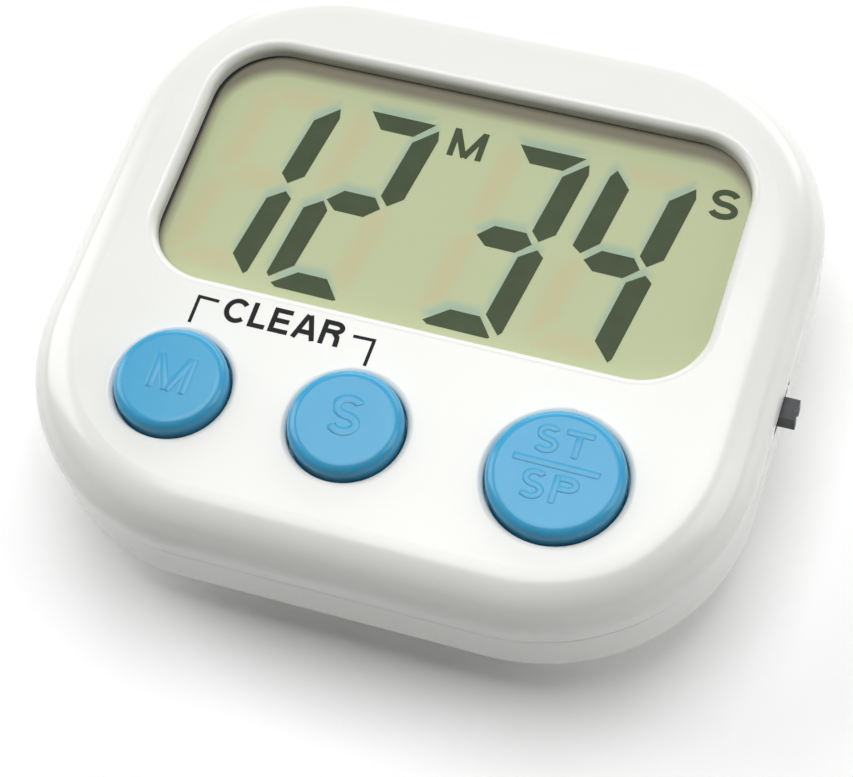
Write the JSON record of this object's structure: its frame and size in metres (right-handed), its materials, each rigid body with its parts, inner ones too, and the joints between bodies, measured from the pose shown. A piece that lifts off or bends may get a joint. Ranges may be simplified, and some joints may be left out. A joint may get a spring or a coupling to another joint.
{
  "type": "lab timer",
  "caption": "Pocket lab countdown timer with a wide LCD window, round push buttons, a side slide switch, a fold-out stand and magnets on its back.",
  "frame": {"origin": "centre of the flat back face that the timer lies on", "axes": "+Z out of the front face, +Y towards the top of the display, +X to the right as the display is read"},
  "size_m": [0.0715, 0.063, 0.0203],
  "materials": {
    "white_abs": "gloss",
    "white_abs_inner": "satin",
    "blue_abs": "gloss",
    "dark_grey_abs": "satin",
    "silicone": "matte",
    "board": "satin",
    "screw_steel": "satin",
    "black_epoxy": "satin",
    "can_metal": "satin",
    "ceramic_tan": "matte",
    "switch_housing": "satin",
    "lcd_face": "satin",
    "lcd_glass": "gloss",
    "lcd_reflector": "satin",
    "zebra_rubber": "matte",
    "brass_sheet": "satin",
    "white_ceramic": "matte",
    "red_wire": "satin",
    "black_wire": "satin",
    "cell_can": "satin",
    "nickel_sheet": "satin",
    "magnet": "matte"
  },
  "bodies": {
    "timer_case": {"front_cover": "white_abs", "rear_cover": "white_abs", "dome_m": "silicone", "dome_s": "silicone", "dome_st_sp": "silicone", "circuit_board": "board", "board_screws": "screw_steel", "chip_blob": "black_epoxy", "crystal": "can_metal", "capacitors": "ceramic_tan", "resistors": "black_epoxy", "switch_body": "switch_housing", "lcd_front_film": "lcd_face", "lcd_front_glass": "lcd_glass", "lcd_rear_glass": "lcd_glass", "lcd_rear_film": "lcd_reflector", "zebra_strip": "zebra_rubber", "lcd_retainer": "white_abs_inner", "retainer_screws": "screw_steel", "piezo_disc": "brass_sheet", "piezo_ceramic": "white_ceramic", "buzzer_wire_red": "red_wire", "buzzer_wire_black": "black_wire", "battery_cell": "cell_can", "positive_contact": "nickel_sheet", "negative_contact": "nickel_sheet", "battery_spring": "nickel_sheet", "battery_wire_red": "red_wire", "battery_wire_black": "black_wire", "magnet_left": "magnet", "magnet_right": "magnet", "case_screws": "screw_steel"},
    "m_button": {"button_m": "blue_abs"},
    "s_button": {"button_s": "blue_abs"},
    "start_stop_button": {"button_st_sp": "blue_abs"},
    "slide_knob": {"switch_knob": "dark_grey_abs"},
    "door": {"battery_door": "white_abs"},
    "fold_stand": {"stand": "white_abs"}
  },
  "joints": [
    {"name": "m_press", "type": "slide", "parent": "timer_case", "child": "m_button", "axis": [0, 0, -1], "range_m": [0, 0.0007], "stiffness_N_per_m": 1200, "deforming": ["dome_m"]},
    {"name": "s_press", "type": "slide", "parent": "timer_case", "child": "s_button", "axis": [0, 0, -1], "range_m": [0, 0.0007], "stiffness_N_per_m": 1200, "deforming": ["dome_s"]},
    {"name": "start_stop_press", "type": "slide", "parent": "timer_case", "child": "start_stop_button", "axis": [0, 0, -1], "range_m": [0, 0.0007], "stiffness_N_per_m": 1200, "deforming": ["dome_st_sp"]},
    {"name": "switch_slide", "type": "slide", "parent": "timer_case", "child": "slide_knob", "axis": [0, -1, 0], "range_m": [-0.00075, 0.00075]},
    {"name": "door_slide", "type": "slide", "parent": "timer_case", "child": "door", "axis": [0, 1, 0], "range_m": [0, 0.02]},
    {"name": "stand_hinge", "type": "hinge", "parent": "timer_case", "child": "fold_stand", "pos_m": [0, -0.0046, 0.0015], "axis": [1, 0, 0], "range_deg": [0, 85]}
  ]
}
